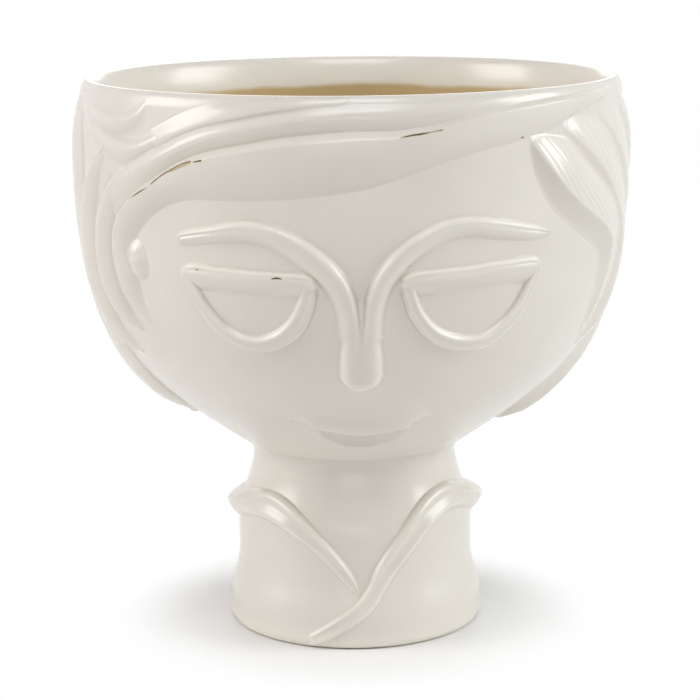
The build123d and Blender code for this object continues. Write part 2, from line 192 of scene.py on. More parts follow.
GLAZE_WHITE = (0.80, 0.765, 0.695, 1)
GLAZE_SHADE = (0.775, 0.74, 0.675, 1)
GLAZE_THIN_AND_HIGHLIGHT = (0.90, 0.86, 0.775, 1)
GLAZE_PAINTED_SHADE = (0.67, 0.635, 0.57, 1)
GLAZE_CREAM_AND_BOUNCE = (0.95, 0.935, 0.88, 1)
GLAZE_GOLD = (0.70, 0.55, 0.31, 1)
CLAY_TAN = (0.56, 0.45, 0.26, 1)
CLAY_DARK = (0.10, 0.075, 0.035, 1)
CLOUD_SCALE, RIPPLE_SCALE, GRAIN_SCALE = 26.0, 130.0, 900.0
RIPPLE_BUMP, GRAIN_BUMP, FLAW_BUMP = (0.05, 0.0009), (0.05, 0.0003), (0.8, 0.0006)
INSIDE_TOP, INSIDE_GOLD = 0.1898, 0.1874
INSIDE_WANDER = 0.0010
FLAW_RAGGED = 0.16
FLAW_OPEN, FLAW_DARK = (0.46, 0.54), (0.72, 0.88)
PIT_SCALE = 95.0
PIT_SIZE, PIT_RARE = (0.035, 0.055), (0.86, 0.88)
THIN_FOOT, THIN_FOOT_SHARE = 0.010, 0.6
BARE_FOOT = 0.0004
SATIN_ROUGH = (0.21, 0.25)
CLAY_ROUGH = 0.85
GLAZE_GLOSS = 0.6


def white_glaze():
    """Satin white glaze: painted shade greys its hollows, a painted highlight of thin cream glaze lights its
    crests, the hem is thin and cream, the lining is cream painted lighter for bounce light then golden, and
    flaws open it.
    """
    material, tree, shader = finish_of("white_glaze")
    place = node_of(tree, "ShaderNodeTexCoord").outputs["Object"]
    height = node_of(tree, "ShaderNodeSeparateXYZ", {0: place}).outputs[2]
    cloud = noise_of(tree, place, CLOUD_SCALE, 3.0)
    ripple = noise_of(tree, place, RIPPLE_SCALE, 2.0)
    grain = noise_of(tree, place, GRAIN_SCALE, 2.0)
    thin_and_highlight, inside, flaw, painted_shade = (field_of(tree, name) for name in ("thin_and_highlight", "inside", "flaw", "painted_shade"))

    colour = blend_of(tree, level_of(tree, cloud, 0.35, 0.65), GLAZE_SHADE, GLAZE_WHITE)
    # Painted shade: the glaze is painted greyer in the skin's hollows and on the neck under the chin.
    colour = blend_of(tree, painted_shade, colour, GLAZE_PAINTED_SHADE)
    patchy = level_of(tree, ripple, 0.3, 0.7, 0.5, 1.0)
    # Painted highlight: crests are painted cream, as thin glaze, in ripples.
    colour = blend_of(tree, math_of(tree, "MULTIPLY", thin_and_highlight, patchy), colour, GLAZE_THIN_AND_HIGHLIGHT)

    wander = level_of(tree, cloud, 0.2, 0.8, -INSIDE_WANDER, INSIDE_WANDER)
    depth = math_of(tree, "ADD", height, wander)
    # Painted bounce light: the lining's cream by the lip is lighter than the outer glaze; it turns golden
    # lower down.
    lining = blend_of(tree, level_of(tree, depth, INSIDE_GOLD, INSIDE_TOP), GLAZE_GOLD, GLAZE_CREAM_AND_BOUNCE)
    colour = blend_of(tree, inside, colour, lining)

    ragged = math_of(tree, "MULTIPLY_ADD", ripple, FLAW_RAGGED, flaw)
    open_clay = level_of(tree, ragged, *FLAW_OPEN)
    bared = blend_of(tree, level_of(tree, ragged, *FLAW_DARK), CLAY_TAN, CLAY_DARK)
    colour = blend_of(tree, open_clay, colour, bared)

    speck = node_of(tree, "ShaderNodeTexVoronoi", {"Vector": place, "Scale": PIT_SCALE, "Randomness": 1.0})
    pit = level_of(tree, speck.outputs["Distance"], *PIT_SIZE, 1.0, 0.0)
    rare = level_of(tree, speck.outputs["Color"], *PIT_RARE)
    colour = blend_of(tree, math_of(tree, "MULTIPLY", pit, rare), colour, CLAY_TAN)

    hem = level_of(tree, height, 0.0, THIN_FOOT, THIN_FOOT_SHARE, 0.0)
    colour = blend_of(tree, hem, colour, GLAZE_THIN_AND_HIGHLIGHT)
    foot = level_of(tree, height, 0.0, BARE_FOOT, 1.0, 0.0)
    colour = blend_of(tree, foot, colour, CLAY_TAN)
    tree.links.new(colour, shader.inputs["Base Color"])

    satin = level_of(tree, cloud, 0.3, 0.7, *SATIN_ROUGH)
    dull = math_of(tree, "MAXIMUM", open_clay, foot)
    rough = node_of(tree, "ShaderNodeMix", {0: dull, 2: satin, 3: CLAY_ROUGH}).outputs[0]
    tree.links.new(rough, shader.inputs["Roughness"])
    shader.inputs["Specular IOR Level"].default_value = GLAZE_GLOSS

    rippled = bump_of(tree, ripple, *RIPPLE_BUMP)
    grainy = bump_of(tree, grain, *GRAIN_BUMP, Normal=rippled)
    broken = bump_of(tree, open_clay, *FLAW_BUMP, invert=True, Normal=grainy)
    tree.links.new(broken, shader.inputs["Normal"])
    return material


glaze = white_glaze()
outer_lip = (RIM_RADIUS, RIM_LEVEL - LIP_OUTER_ROUND[1])
inner_lip = (RIM_RADIUS - BOWL_WALL, RIM_LEVEL - LIP_INNER_ROUND[1])
bowl_outside = bowl_side((CHIN_RADIUS, CHIN_LEVEL - CHIN_DROP), BOWL_RADIUS, outer_lip)
bowl_inside = bowl_side((BOWL_BORE, CHIN_LEVEL + BOWL_WALL), BOWL_RADIUS - BOWL_WALL, inner_lip)
lip_outside = quarter((outer_lip[0] - LIP_OUTER_ROUND[0], outer_lip[1]), LIP_OUTER_ROUND, 0)
lip_inside = quarter((inner_lip[0] + LIP_INNER_ROUND[0], inner_lip[1]), LIP_INNER_ROUND, 90)
BOWL = wall_from(np.vstack([bowl_outside, lip_outside[1:]]))
bore = np.array([(BOWL_BORE, CHIN_LEVEL - CHIN_DROP)])
bowl_loop = np.vstack([bowl_outside, lip_outside[1:], lip_inside[1:], bowl_inside[::-1][1:], bore])
lip_top = len(bowl_outside) + len(lip_outside) - 2
bowl_lined = np.clip((np.arange(len(bowl_loop)) - lip_top) / (ROUND_STEPS - 1), 0, 1)
turned("head_bowl", bowl_loop, BOWL_TURN_STEPS, glaze, "white_glaze", inside=bowl_lined)

# The neck is cast hollow with the coat's shoulders and hem, and its spigot is luted into the bowl's floor.
# It carries the bowl, and its foot ring is wiped bare of glaze so that the pot doesn't stick in the kiln.
NECK_WAIST = (36.8, 62.5)
COAT_RADIUS = 42.8
COAT_TOP, COAT_WAIST = 39.5, 28.6
SHOULDER = (38.6, 50.0)
HEM = (46.3, 6.8)
SHOULDER_HANDLE, HEM_HANDLE = 7.5, 10.9
CHIN_FILLET_AT = 4.0
CHIN_FILLET_SUNK = 0.12
CHIN_FILLET_HANDLE = 2.0
CHIN_PAINTED_SHADE = 0.6
CHIN_SHADE_FROM = 60.0
FOOT_ROUND = 3.3
FOOT_INNER_RADIUS = 39.4
SPIGOT_RADIUS, WELL_RADIUS = 33.5, 30.1
SPIGOT_TOP = CHIN_LEVEL + BOWL_WALL
NECK_WALL = 6.0
NECK_INSIDE_RADIUS = COAT_RADIUS - NECK_WALL
FLOOR_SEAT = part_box("base_floor")[1][2] / MM
FOOT_STEPS, HEM_STEPS, COAT_STEPS, SHOULDER_STEPS, FILLET_STEPS = 6, 40, 20, 40, 30
NECK_TURN_STEPS = 240

foot_round = quarter((HEM[0] - FOOT_ROUND, FOOT_ROUND), (FOOT_ROUND, FOOT_ROUND), -90)
hem_lead = (HEM[0], HEM[1] + HEM_HANDLE)
coat_lead = (COAT_RADIUS, COAT_WAIST - HEM_HANDLE)
coat_low, coat_high = (COAT_RADIUS, COAT_WAIST), (COAT_RADIUS, COAT_TOP)
shoulder_lead = (COAT_RADIUS, COAT_TOP + SHOULDER_HANDLE)
chin_lead = (NECK_WAIST[0], CHIN_LEVEL - CHIN_DROP)
fillet_row = np.searchsorted(BOWL["length"], CHIN_FILLET_AT)
fillet_end = BOWL["profile"][fillet_row] - CHIN_FILLET_SUNK * BOWL["out"][fillet_row]
fillet_lead = fillet_end - CHIN_FILLET_HANDLE * BOWL["ahead"][fillet_row]
neck_outside = np.vstack([
    foot_round,
    np.linspace((HEM[0], FOOT_ROUND), HEM, FOOT_STEPS)[1:],
    cubic(HEM, hem_lead, coat_lead, coat_low, HEM_STEPS)[1:],
    np.linspace(coat_low, coat_high, COAT_STEPS)[1:],
    cubic(coat_high, shoulder_lead, SHOULDER, NECK_WAIST, SHOULDER_STEPS)[1:],
    cubic(NECK_WAIST, chin_lead, fillet_lead, fillet_end, FILLET_STEPS)[1:],
])
neck_inside = np.array([
    (SPIGOT_RADIUS, CHIN_LEVEL),
    (SPIGOT_RADIUS, SPIGOT_TOP),
    (WELL_RADIUS, SPIGOT_TOP),
    (WELL_RADIUS, NECK_WAIST[1]),
    (NECK_INSIDE_RADIUS, COAT_WAIST),
    (NECK_INSIDE_RADIUS, FLOOR_SEAT),
    (FOOT_INNER_RADIUS, FLOOR_SEAT),
    (FOOT_INNER_RADIUS, 0.0),
])
NECK = wall_from(neck_outside)
neck_loop = np.vstack([neck_outside, neck_inside])
neck_lined = (np.arange(len(neck_loop)) >= len(neck_outside) + 1).astype(float)
# Painted shade: the neck is painted greyer towards the chin, above a set height.
under_chin = np.clip((neck_loop[:, 1] - CHIN_SHADE_FROM) / (CHIN_LEVEL - CHIN_SHADE_FROM), 0, 1)
neck_fields = {"inside": neck_lined, "painted_shade": CHIN_PAINTED_SHADE * under_chin}
turned("neck_pedestal", neck_loop, NECK_TURN_STEPS, glaze, "white_glaze", **neck_fields)

# The floor is a disc of bare clay let into a rebate under the neck and luted there, clear of the table.
# It is never glazed: its underside shows the tan body, with the turning marks of the tool.
FLOOR_EDGE = 0.8
FLOOR_HUB = 0.4
FLOOR_STEPS = 24
FLOOR_TURN_STEPS = 160
CLAY_PORE, CLAY_BODY, CLAY_PALE = (0.36, 0.24, 0.12, 1), (0.56, 0.41, 0.23, 1), (0.63, 0.49, 0.31, 1)
TOOL_SCALE, GROG_SCALE, TINT_SCALE = 160.0, 700.0, 45.0
TOOL_BUMP, GROG_BUMP = (0.2, 0.0004), (0.25, 0.0003)


def bare_clay():
    """Matt tan earthenware with fine grog, darker pores and faint rings left by the turning tool."""
    material, tree, shader = finish_of("bare_clay")
    place = node_of(tree, "ShaderNodeTexCoord").outputs["Object"]
    inputs = {"Vector": place, "Scale": TOOL_SCALE, "Distortion": 1.2, "Detail": 2.0}
    rings = node_of(tree, "ShaderNodeTexWave", inputs, wave_type="RINGS", rings_direction="Z").outputs[1]
    grog = noise_of(tree, place, GROG_SCALE, 4.0)
    tint = noise_of(tree, place, TINT_SCALE, 3.0)
    body = blend_of(tree, level_of(tree, grog, 0.35, 0.6), CLAY_PORE, CLAY_BODY)
    tinted = blend_of(tree, level_of(tree, tint, 0.35, 0.65, 0.0, 0.5), body, CLAY_PALE)
    tree.links.new(tinted, shader.inputs["Base Color"])
    tree.links.new(level_of(tree, grog, 0.3, 0.7, 0.75, 0.95), shader.inputs["Roughness"])
    tooled = bump_of(tree, rings, *TOOL_BUMP)
    tree.links.new(bump_of(tree, grog, *GROG_BUMP, Normal=tooled), shader.inputs["Normal"])
    return material


def capped_turn(name, profile, steps, material, slot):
    """An open (radius, height) profile carried round Z, with a point on the axis closing each end."""
    ends = [(0, 0, profile[0, 1]), (0, 0, profile[-1, 1])]
    points = np.vstack([spun(profile, steps).reshape(-1, 3), ends])
    columns = len(profile)
    here = np.arange(steps) * columns
    there = np.roll(here, -1)
    low = np.full(steps, steps * columns)
    lower = np.stack([low, there, here], -1)
    upper = np.stack([low + 1, here + columns - 1, there + columns - 1], -1)
    faces = grid_faces(steps, columns, True).tolist() + lower.tolist() + upper.tolist()
    make_piece(name, points, faces, material, slot)


clay = bare_clay()
floor_low, floor_high = (np.array(corner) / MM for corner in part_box("base_floor"))
floor_flat = floor_high[0] - FLOOR_EDGE
edge_round = (FLOOR_EDGE, FLOOR_EDGE)
floor_profile = np.vstack([
    np.linspace((FLOOR_HUB, floor_low[2]), (floor_flat, floor_low[2]), FLOOR_STEPS),
    quarter((floor_flat, floor_low[2] + FLOOR_EDGE), edge_round, -90)[1:],
    quarter((floor_flat, floor_high[2] - FLOOR_EDGE), edge_round, 0),
    np.linspace((floor_flat, floor_high[2]), (FLOOR_HUB, floor_high[2]), FLOOR_STEPS)[1:],
])
capped_turn("base_floor", floor_profile, FLOOR_TURN_STEPS, clay, "bare_clay")

# The nose and brows are flat strips with rounded edges: each brow runs in one line down into the nose.
# They are rolled in clay, cut, pressed on the wall and smoothed along their feet with a wet brush.
BED = 0.5
SINK = 0.03
PATH_STEPS = 220
EDGE_REACH = 1.45
END_STEPS = 12
LEAST_HALF, LEAST_CREST = 0.3, 0.05
DEEPEST = -4.0
FOOT_SHARE, FOOT_LEAST, FOOT_SUNK = 0.5, 0.15, 0.02


def on_wall(wall, azimuth, length, lift=0.0):
    """Points at an azimuth from the face, an arc length up the wall and a lift along the normal."""
    radius, height = (np.interp(length, wall["length"], wall["profile"][:, k]) for k in (0, 1))
    out, up = (np.interp(length, wall["length"], wall["out"][:, k]) for k in (0, 1))
    radius = radius + lift * out
    return np.stack([radius * np.sin(azimuth), -radius * np.cos(azimuth), height + lift * up], -1)


def spot_on(wall, points):
    """Azimuth and arc length of the wall under points: the nearest profile row, carried along its tangent."""
    flat = np.stack([np.hypot(points[..., 0], points[..., 1]), points[..., 2]], -1)
    near = ((wall["profile"] ** 2).sum(1) - 2 * flat @ wall["profile"].T).argmin(-1)
    beyond = ((flat - wall["profile"][near]) * wall["ahead"][near]).sum(-1)
    return np.arctan2(points[..., 0], -points[..., 1]), wall["length"][near] + beyond


def through(rows, steps):
    """Rows of numbers resampled along a Catmull-Rom curve that passes through each of them."""
    rows = np.array(rows, float)
    held = np.vstack([2 * rows[0] - rows[1], rows, 2 * rows[-1] - rows[-2]])
    t = np.linspace(0, len(rows) - 1, steps)
    k = np.minimum(t.astype(int), len(rows) - 2)
    f = (t - k)[:, None]
    a, b, c, d = (held[k + n] for n in range(4))
    return b + f * (c - a) / 2 + f**2 * (a - 2.5 * b + 2 * c - d / 2) + f**3 * (1.5 * (b - c) + (d - a) / 2)


def lay(wall, rows, section, foot, steps=PATH_STEPS):
    """A ridge's path on a wall, from rows (azimuth, height, half width, crest), with its cross-section.

    The foot is how wide, in millimetres of height, its sides round into what they stand on.
    """
    path = through(rows, steps)
    azimuth = np.radians(path[:, 0])
    length = np.interp(path[:, 1], wall["profile"][:, 1], wall["length"])
    spine = on_wall(wall, azimuth, length)
    out = on_wall(wall, azimuth, length, 1.0) - spine
    ahead = np.gradient(spine, axis=0)
    step = np.linalg.norm(ahead, axis=1)
    ahead /= step[:, None]
    across = np.cross(out, ahead)
    half = np.maximum(path[:, 2], LEAST_HALF)
    crest = np.maximum(path[:, 3], LEAST_CREST)
    return {"wall": wall, "spine": spine, "ahead": ahead, "across": across, "step": step,
            "half": half, "crest": crest, "section": section, "foot": foot}


def height_of(ridge, points):
    """Height of a ridge over points of its wall: its crest times its section, at its nearest place.

    The section is read at t, the distance from the path over the half width, negative on the left of it.
    """
    spine = ridge["spine"]
    near = ((spine**2).sum(1) - 2 * points @ spine.T).argmin(-1)
    offset = points - spine[near]
    beyond = (offset * ridge["ahead"][near]).sum(-1)
    place = np.clip(near + beyond / ridge["step"][near], 0, len(spine) - 1)
    past_end = (place == 0) | (place == len(spine) - 1)
    gap = np.sqrt(np.maximum((offset**2).sum(-1) - np.where(past_end, 0, beyond**2), 0))
    side = np.sign((offset * ridge["across"][near]).sum(-1))
    stations = np.arange(len(spine))
    half = np.interp(place, stations, ridge["half"])
    crest = np.interp(place, stations, ridge["crest"])
    along = np.interp(place, stations, np.cumsum(ridge["step"]))
    return np.maximum(ridge["section"](side * gap / half, along, crest), DEEPEST), crest


def soft_max(a, b, width):
    """The greater of two heights, rounded where they are nearer than a width: plus (w - |a - b|)^2 / 4w."""
    return np.maximum(a, b) + np.maximum(width - np.abs(a - b), 0) ** 2 / (4 * width)


def raised(ridge, spots, neighbours=(), join=0.8, seam=0.06):
    """A sprig's skin over wall spots (azimuth, length): its own height, softly joined to its neighbours."""
    base = on_wall(ridge["wall"], *spots)
    height, crest = height_of(ridge, base)
    for other in neighbours:
        height = soft_max(height, height_of(other, base)[0] - seam, np.minimum(join, crest))
    foot = np.minimum(ridge["foot"], FOOT_SHARE * crest + FOOT_LEAST)
    return soft_max(height, -SINK - FOOT_SUNK * foot, foot), base


flaw_lines = [
    [(-46.5, 165.4, 0.0, 0.8), (-44.4, 167.2, 0.05, 1.0), (-42.0, 169.1, 0.0, 0.8)],
    [(-40.8, 170.5, 0.02, 1.0), (-38.2, 173.5, 0.1, 1.0), (-36.2, 175.3, 0.12, 1.0),
     (-33.5, 177.7, 0.08, 1.0), (-31.2, 178.8, 0.05, 1.0)],
    [(-35.8, 175.1, 0.1, 0.66), (-33.8, 176.9, 0.5, 0.66), (-32.2, 177.9, 0.35, 0.66),
     (-31.0, 178.5, 0.1, 0.66)],
    [(-30.4, 178.7, 0.02, 1.0), (-28.7, 179.3, 0.12, 1.0)],
    [(8.9, 186.9, 0.0, 0.9), (10.7, 187.5, 0.06, 1.0), (12.7, 187.9, 0.12, 1.0), (14.7, 188.4, 0.0, 0.9),
     (16.9, 189.0, 0.06, 1.0)],
    [(-31.7, 143.3, 0.1, 0.9), (-31.4, 143.3, 0.1, 0.9)],
    [(-15.6, 141.9, 0.02, 0.9), (-14.6, 142.2, 0.12, 1.0), (-13.6, 141.9, 0.02, 0.9)],
    [(10.9, 145.4, 0.1, 0.7), (12.0, 145.7, 0.05, 0.7)],
    [(34.3, 184.9, 0.05, 1.0), (35.0, 184.9, 0.1, 1.0)],
    [(48.0, 190.3, 0.02, 0.8), (48.6, 190.6, 0.05, 0.8)],
    [(-29.8, 150.7, 0.05, 0.55), (-29.6, 150.7, 0.05, 0.55)],
]
FLAW_EDGE = 0.38
FLAW_STEPS = 60


def flaws_over(base):
    """How open the glaze is over wall points: a flaw's depth inside its half width, then falling to 0.

    A flaw's rows are (azimuth, height, half width, depth).
    """
    flaw = np.zeros(base.shape[:-1])
    for rows in flaw_lines:
        line = through(rows, FLAW_STEPS)
        length = np.interp(line[:, 1], BOWL["profile"][:, 1], BOWL["length"])
        spots = on_wall(BOWL, np.radians(line[:, 0]), length)
        near = np.abs(base - spots.mean(0)).max(-1) < np.ptp(spots, 0).max() + FLAW_EDGE
        gap = np.linalg.norm(base[near][:, None] - spots, axis=-1) - line[:, 2]
        depth = np.clip(1 - gap / FLAW_EDGE, 0, 1) * line[:, 3]
        flaw[near] = np.maximum(flaw[near], depth.max(-1))
    return flaw


SHADE_STEPS, SHADE_BORDER = (-4, -2, 2, 4), 5
SHADE_DEPTH, SHADE_MOST = 0.2, 0.75
SHADE_SKIN = 0.6
HIGHLIGHT_STEPS, HIGHLIGHT_BORDER = (-2, 2), 3
HIGHLIGHT_RISE, HIGHLIGHT_FROM = 0.12, 0.4


def mean_round(lift, steps):
    """The mean of the skin a few grid steps away, before and behind along both axes."""
    return sum(np.roll(lift, step, axis) for step in steps for axis in (0, 1)) / (2 * len(steps))


def hollow_shade(lift):
    """Where hollows get painted shade: as far as the skin lies under the mean of the skin a few steps round
    it.
    """
    deep = SHADE_MOST * np.clip((mean_round(lift, SHADE_STEPS) - lift) / SHADE_DEPTH, 0, 1)
    deep[:SHADE_BORDER], deep[-SHADE_BORDER:] = 0, 0
    deep[:, :SHADE_BORDER], deep[:, -SHADE_BORDER:] = 0, 0
    return deep


def edge_highlight(lift, amount):
    """Where crests get a painted highlight in thin cream glaze: the amount where the skin bends most, as it
    tops the skin round it.
    """
    brightened = amount * np.clip((lift - mean_round(lift, HIGHLIGHT_STEPS)) / HIGHLIGHT_RISE, 0, 1) * (lift > HIGHLIGHT_FROM)
    brightened[:HIGHLIGHT_BORDER], brightened[-HIGHLIGHT_BORDER:] = 0, 0
    return brightened


def closed_sheet(top, under, close_rows=False):
    """Points and faces of a top grid and the grid under it, joined along every open edge."""
    rows, columns = top.shape[:2]
    count = rows * columns
    faces = [grid_faces(rows, columns, close_rows)]
    faces.append(faces[0][:, ::-1] + count)
    index = np.arange(count).reshape(rows, columns)
    lines = [index[:, 0][::-1], index[:, -1]]
    if close_rows:
        lines = [np.r_[line, line[:1]] for line in lines]
    else:
        lines += [index[0], index[-1][::-1]]
    for line in lines:
        faces.append(np.stack([line[:-1], line[1:], line[1:] + count, line[:-1] + count], -1)[:, ::-1])
    return np.concatenate([top.reshape(-1, 3), under.reshape(-1, 3)]), np.concatenate(faces)


def glazed(name, wall, spots, lift, base, thin_and_highlight, deep, close_rows=False):
    """A sprig's closed mesh from its lift over wall spots, on a bed in the wall, with its glaze's fields,
    painted highlight and painted shade among them.
    """
    top = on_wall(wall, *spots, lift)
    under = on_wall(wall, *spots, np.minimum(lift, 0) - BED)
    points, faces = closed_sheet(top, under, close_rows)
    fields = {"thin_and_highlight": edge_highlight(lift, thin_and_highlight), "flaw": flaws_over(base), "painted_shade": deep}
    fields = {key: np.r_[values.ravel(), np.zeros(lift.size)] for key, values in fields.items()}
    make_piece(name, points, faces.tolist(), glaze, "white_glaze", **fields)


def press(name, ridge, neighbours, stations, across=41, thin_and_highlight=0.0, shade_all=0.0, shade_hollows=1.0, reach=None, **joint):
    """A sprig from a grid along its path and across it, past its ends.

    Its edges get a painted highlight of thin cream glaze and its hollows painted shade, and it may be painted
    in shade all over.
    """
    spine, half, ahead = ridge["spine"], ridge["half"], ridge["ahead"]
    ends = np.linspace(1, 0, END_STEPS, endpoint=False)[:, None]
    before = spine[:1] - ends * EDGE_REACH * half[0] * ahead[0]
    after = spine[-1:] + ends[::-1] * EDGE_REACH * half[-1] * ahead[-1]
    pick = np.linspace(0, len(spine) - 1, stations).round().astype(int)
    order = np.r_[[pick[0]] * END_STEPS, pick, [pick[-1]] * END_STEPS]
    path = np.vstack([before, spine[pick], after])
    if reach is None:
        reach = np.linspace(-EDGE_REACH, EDGE_REACH, across)
    sideways = ridge["across"][order][:, None] * (half[order][:, None] * reach)[..., None]
    spots = spot_on(ridge["wall"], path[:, None] + sideways)
    lift, base = raised(ridge, spots, neighbours, **joint)
    # Painted shade: the hollows are painted greyer, and where asked the whole sprig too, more where it stands
    # higher.
    deep = shade_hollows * hollow_shade(lift)
    if shade_all:
        deep = np.maximum(deep, shade_all * np.clip(height_of(ridge, base)[0] / SHADE_SKIN, 0, 1))
    glazed(name, ridge["wall"], spots, lift, base, thin_and_highlight, deep)


def dished(t, share):
    """A band with rounded edges and a dished face: 1 - |t|^4 less a share of cos^2 of a quarter turn."""
    return 1 - np.abs(t) ** 4 - share * np.cos(np.pi / 2 * np.clip(t, -1, 1)) ** 2


STRIP_HOLLOW = 0.2


def strip(t, along, crest):
    """A strip of clay: its crest times a dished band."""
    return crest * dished(t, STRIP_HOLLOW)


def from_crest(t, place):
    """How far t is from a crest at t = place, as a share of the way to the edge on its side."""
    return np.where(t < place, (place - t) / (1 + place), (t - place) / (1 - place))


def crested(place, before=2.0, past=2.0):
    """A section with its crest at t = place: 1 - s^before where t < place, and 1 - s^past elsewhere."""
    def section(t, along, crest):
        return crest * (1 - from_crest(t, place) ** np.where(t < place, before, past))
    return section


BROW_CREST, BROW_POWERS = 0.4, (2.8, 2.4)
BROW_GROOVE, BROW_GROOVE_END = 0.4, 34.0
BROW_GROOVE_PLACE, BROW_GROOVE_WIDTH = 0.25, 0.2


def brow(up):
    """A brow's section: its crest by the upper edge, on the side up, and a groove that dies away inwards."""
    smooth = crested(BROW_CREST * up, *BROW_POWERS[::up])

    def section(t, along, crest):
        groove = BROW_GROOVE * np.exp(-(((t - BROW_GROOVE_PLACE * up) / BROW_GROOVE_WIDTH) ** 2))
        return smooth(t, along, crest) - groove * np.clip(1 - along / BROW_GROOVE_END, 0, 1)
    return section


brow_left_rows = [
    (-35.0, 153.1, 2.4, 1.6),
    (-28.6, 154.9, 2.9, 2.2),
    (-20.9, 156.6, 3.8, 2.6),
    (-14.9, 155.0, 4.0, 2.7),
    (-9.9, 150.7, 4.5, 2.8),
    (-5.7, 144.8, 4.4, 2.8),
    (-2.7, 138.2, 4.2, 2.8),
    (-1.2, 131.3, 3.9, 2.8),
    (-0.6, 124.6, 3.7, 2.6),
    (-0.3, 116.2, 3.4, 1.9),
]
brow_right_rows = [
    (42.2, 152.6, 0.9, 0.6),
    (39.4, 153.2, 2.2, 1.5),
    (35.6, 154.2, 2.9, 2.1),
    (29.3, 156.1, 3.5, 2.5),
    (23.2, 157.6, 3.5, 2.5),
    (17.7, 156.5, 3.7, 2.6),
    (13.2, 153.0, 3.7, 2.8),
    (9.4, 148.2, 3.7, 2.8),
    (6.5, 142.0, 3.7, 2.8),
    (4.9, 136.4, 3.7, 2.8),
    (4.1, 130.3, 3.5, 2.8),
    (3.8, 123.6, 3.6, 2.6),
    (3.6, 116.2, 3.4, 1.9),
]
nose_rows = [
    (1.6, 135.5, 0.5, 0.1),
    (1.6, 131.5, 1.2, 0.8),
    (1.6, 128.0, 2.2, 1.6),
    (1.6, 124.4, 4.0, 2.4),
    (1.6, 119.8, 6.6, 3.0),
    (1.65, 113.7, 7.4, 3.5),
    (1.7, 108.6, 7.5, 4.0),
]
brow_left = lay(BOWL, brow_left_rows, brow(1), foot=1.0)
brow_right = lay(BOWL, brow_right_rows, brow(-1), foot=1.0)
nose = lay(BOWL, nose_rows, strip, foot=1.1)
# Painted light: the crests of brows and nose get a painted highlight and their hollows painted shade.
press("brow_left", brow_left, [nose, brow_right], stations=180, across=49, thin_and_highlight=0.9)
press("brow_right", brow_right, [nose, brow_left], stations=180, across=49, thin_and_highlight=0.9)
press("nose_bridge", nose, [brow_left, brow_right], stations=90, across=49, thin_and_highlight=0.9)

# Each eye is a half-moon rim: a straight lid across the top and a bowed strip under it, in one ring of clay.
# The field inside it is the bowl's own wall, left plain.
EYE_RADIUS = 94.0
RING_STEPS = 320
RING_DETAIL = 30
RING_REACH = 5.0
RING_MIDDLE = 0.12
INNER_STEPS, RIM_STEPS = 40, 41
LID_ROWS = 5
LID_DROP = 2.0
LID_SLOPE = 1.6
LID_CREST = 0.4
eye_left_rows = [
    (-34.3, 142.2, 2.2, 1.9), (-26.8, 142.2, 2.4, 2.2), (-19.9, 141.7, 2.4, 2.2), (-13.9, 141.4, 2.4, 2.2),
    (-8.8, 140.8, 2.4, 2.1), (-8.7, 136.6, 2.8, 2.1), (-9.6, 131.5, 3.2, 2.2), (-11.6, 125.7, 3.4, 2.4),
    (-14.9, 121.1, 3.3, 2.4), (-19.0, 118.9, 3.1, 2.4), (-23.0, 119.4, 2.7, 2.4), (-26.7, 121.9, 2.6, 2.2),
    (-30.0, 126.9, 2.5, 2.2), (-32.7, 133.4, 2.3, 2.0),
]
eye_right_rows = [
    (38.9, 142.8, 2.2, 1.9), (30.4, 143.2, 2.5, 2.2), (23.8, 142.5, 2.4, 2.2), (17.5, 142.0, 2.4, 2.2),
    (11.0, 141.0, 2.3, 2.1), (11.0, 136.7, 2.5, 2.1), (12.5, 129.9, 2.7, 2.2), (15.4, 123.8, 2.8, 2.4),
    (19.2, 119.9, 3.0, 2.4), (23.9, 118.1, 3.0, 2.4), (28.7, 118.6, 3.0, 2.4), (32.5, 122.3, 2.8, 2.2),
    (35.8, 128.2, 2.5, 2.2), (37.9, 135.0, 2.2, 2.0),
]


def rim_of(name, rows, lid_side):
    """A ring of strip round an eye: rays from its middle cross the path, where the section is read."""
    rows = np.array(rows)
    looped = np.vstack([rows[-1:], rows, rows[:2]])
    path = through(looped, (len(looped) - 1) * RING_DETAIL + 1)[RING_DETAIL:-RING_DETAIL]
    ridge = lay(BOWL, path, strip, 0.9, len(path))
    lid_rows = rows[:LID_ROWS] + (0, -LID_DROP, LID_SLOPE, 0)
    lid = lay(BOWL, lid_rows, crested(lid_side * LID_CREST, 2.2, 2.2), foot=1.2)
    middle = rows[:, :2].mean(0)
    wide = np.radians(path[:, 0] - middle[0]) * EYE_RADIUS
    height = path[:, 1] - middle[1]
    turn = np.unwrap(np.arctan2(height, wide))
    order = np.argsort(turn)
    angle = np.linspace(turn.min(), turn.min() + 2 * np.pi, RING_STEPS, endpoint=False)[:, None]
    far = np.interp(angle, turn[order], np.hypot(wide, height)[order])
    inner = np.linspace(RING_MIDDLE, 1, INNER_STEPS, endpoint=False) * (far - RING_REACH)
    outer = far + np.linspace(-RING_REACH, RING_REACH, RIM_STEPS)
    reach = np.hstack([inner, outer])[:, ::-1]
    azimuth = np.radians(middle[0]) + reach * np.cos(angle) / EYE_RADIUS
    level = middle[1] + reach * np.sin(angle)
    spots = azimuth, np.interp(level, BOWL["profile"][:, 1], BOWL["length"])
    lift, base = raised(ridge, spots, [lid], join=0.6)
    # Painted light: the ring's crests get a painted highlight and its hollows painted shade.
    glazed(name, BOWL, spots, lift, base, 0.9, hollow_shade(lift), True)


rim_of("eye_rim_left", eye_left_rows, 1)
rim_of("eye_rim_right", eye_right_rows, -1)

